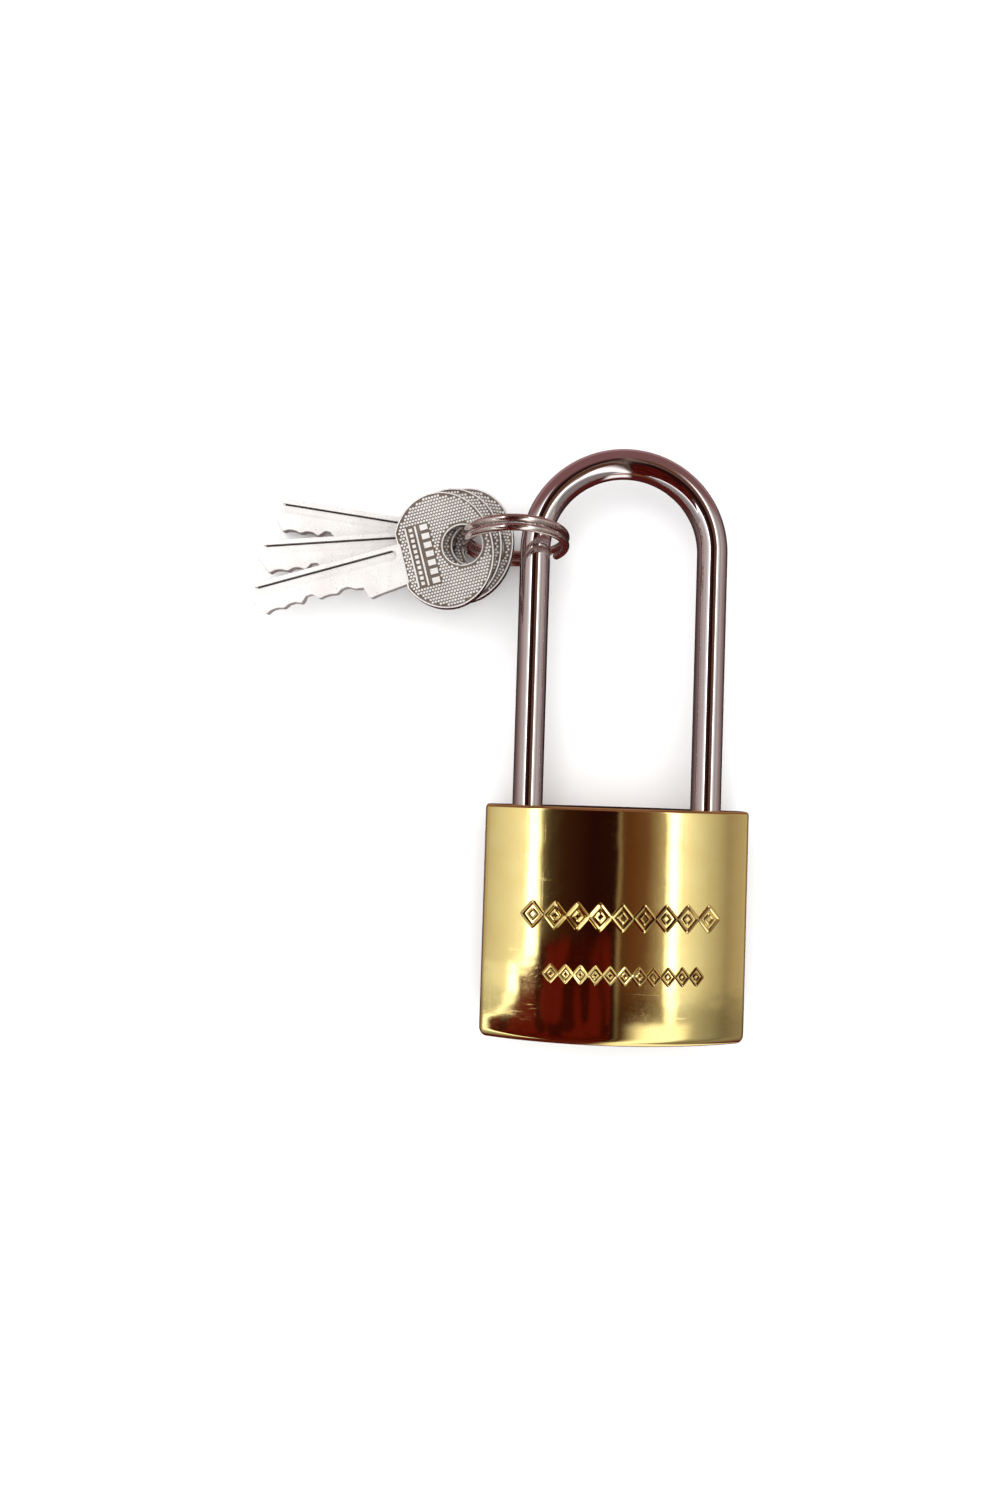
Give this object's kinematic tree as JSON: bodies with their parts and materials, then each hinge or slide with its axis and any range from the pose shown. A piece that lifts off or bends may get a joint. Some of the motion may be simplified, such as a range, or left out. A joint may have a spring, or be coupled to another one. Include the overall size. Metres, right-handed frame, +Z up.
{
  "type": "long shackle padlock",
  "caption": "Brass padlock with a rounded body and a long chromed shackle, with a split ring of flat keys hanging on one leg of the shackle.",
  "frame": {"origin": "centre of the flat strip on the rounded back that the lock lies on, halfway between the body's two ends", "axes": "+X across the body towards the leg that stays in the lock, +Y along the shackle towards its bend, +Z up out of the front face, with the lock lying on its back"},
  "size_m": [0.0968, 0.1133, 0.0206],
  "materials": {
    "polished_brass": "polished, lightly scratched",
    "plug_brass": "turned, unpolished",
    "chromed_steel": "bright chrome plate",
    "ring_steel": "bright nickel plate",
    "nickel_plate": "satin nickel plate over stamped brass",
    "plain_steel": "plain turned steel",
    "spring_wire": "drawn spring wire"
  },
  "bodies": {
    "body": {"body": "polished_brass", "driver_pin_1": "plain_steel", "driver_pin_2": "plain_steel", "driver_pin_3": "plain_steel", "driver_pin_4": "plain_steel", "driver_pin_5": "plain_steel", "pin_spring_1": "spring_wire", "pin_spring_2": "spring_wire", "pin_spring_3": "spring_wire", "pin_spring_4": "spring_wire", "pin_spring_5": "spring_wire", "chamber_plug_1": "plug_brass", "chamber_plug_2": "plug_brass", "chamber_plug_3": "plug_brass", "chamber_plug_4": "plug_brass", "chamber_plug_5": "plug_brass", "latch_spring": "spring_wire", "heel_retainer": "plain_steel", "latch_bore_plug": "plug_brass", "plug_retaining_pin": "plain_steel", "shackle_spring": "spring_wire"},
    "lift_seat": {"spring_seat": "plain_steel"},
    "shackle": {"shackle": "chromed_steel"},
    "plug": {"plug": "plug_brass", "cam": "plain_steel", "key_pin_1": "plug_brass", "key_pin_2": "plug_brass", "key_pin_3": "plug_brass", "key_pin_4": "plug_brass", "key_pin_5": "plug_brass"},
    "latch": {"latch": "plain_steel"},
    "split_ring": {"split_ring": "ring_steel"},
    "key_1": {"key_1": "nickel_plate"},
    "key_2": {"key_2": "nickel_plate"},
    "key_3": {"key_3": "nickel_plate"}
  },
  "joints": [
    {"name": "shackle_lift", "type": "slide", "parent": "body", "child": "lift_seat", "axis": [0, 1, 0], "range_m": [0, 0.013], "deforming": ["shackle_spring"]},
    {"name": "shackle_swing", "type": "hinge", "parent": "lift_seat", "child": "shackle", "pos_m": [0.0171, 0, 0.00777], "axis": [0, 1, 0], "range_deg": [0, 180]},
    {"name": "plug_turn", "type": "hinge", "parent": "body", "child": "plug", "pos_m": [0, 0, 0.00777], "axis": [0, 1, 0], "range_deg": [-90, 0]},
    {"name": "latch_slide", "type": "slide", "parent": "body", "child": "latch", "axis": [-1, 0, 0], "range_m": [0, 0.0024], "deforming": ["latch_spring"]},
    {"name": "ring_swing", "type": "hinge", "parent": "shackle", "child": "split_ring", "pos_m": [-0.0171, 0.0722, 0.00777], "axis": [0, 1, 0], "range_deg": [0, 150]},
    {"name": "key_1_swing", "type": "hinge", "parent": "split_ring", "child": "key_1", "pos_m": [-0.031, 0.0711, 0.00988], "axis": [-0.1045, 0, 0.9945], "range_deg": [-40, 45]},
    {"name": "key_2_swing", "type": "hinge", "parent": "split_ring", "child": "key_2", "pos_m": [-0.0293, 0.0716, 0.00769], "axis": [-0.1045, 0, 0.9945], "range_deg": [-45, 40]},
    {"name": "key_3_swing", "type": "hinge", "parent": "split_ring", "child": "key_3", "pos_m": [-0.02715, 0.0715, 0.00554], "axis": [-0.1045, 0, 0.9945], "range_deg": [-20, 36]}
  ],
  "couplings": [
    {"joint": "latch_slide", "follows": "plug_turn", "m_per_rad": -0.0015279}
  ]
}
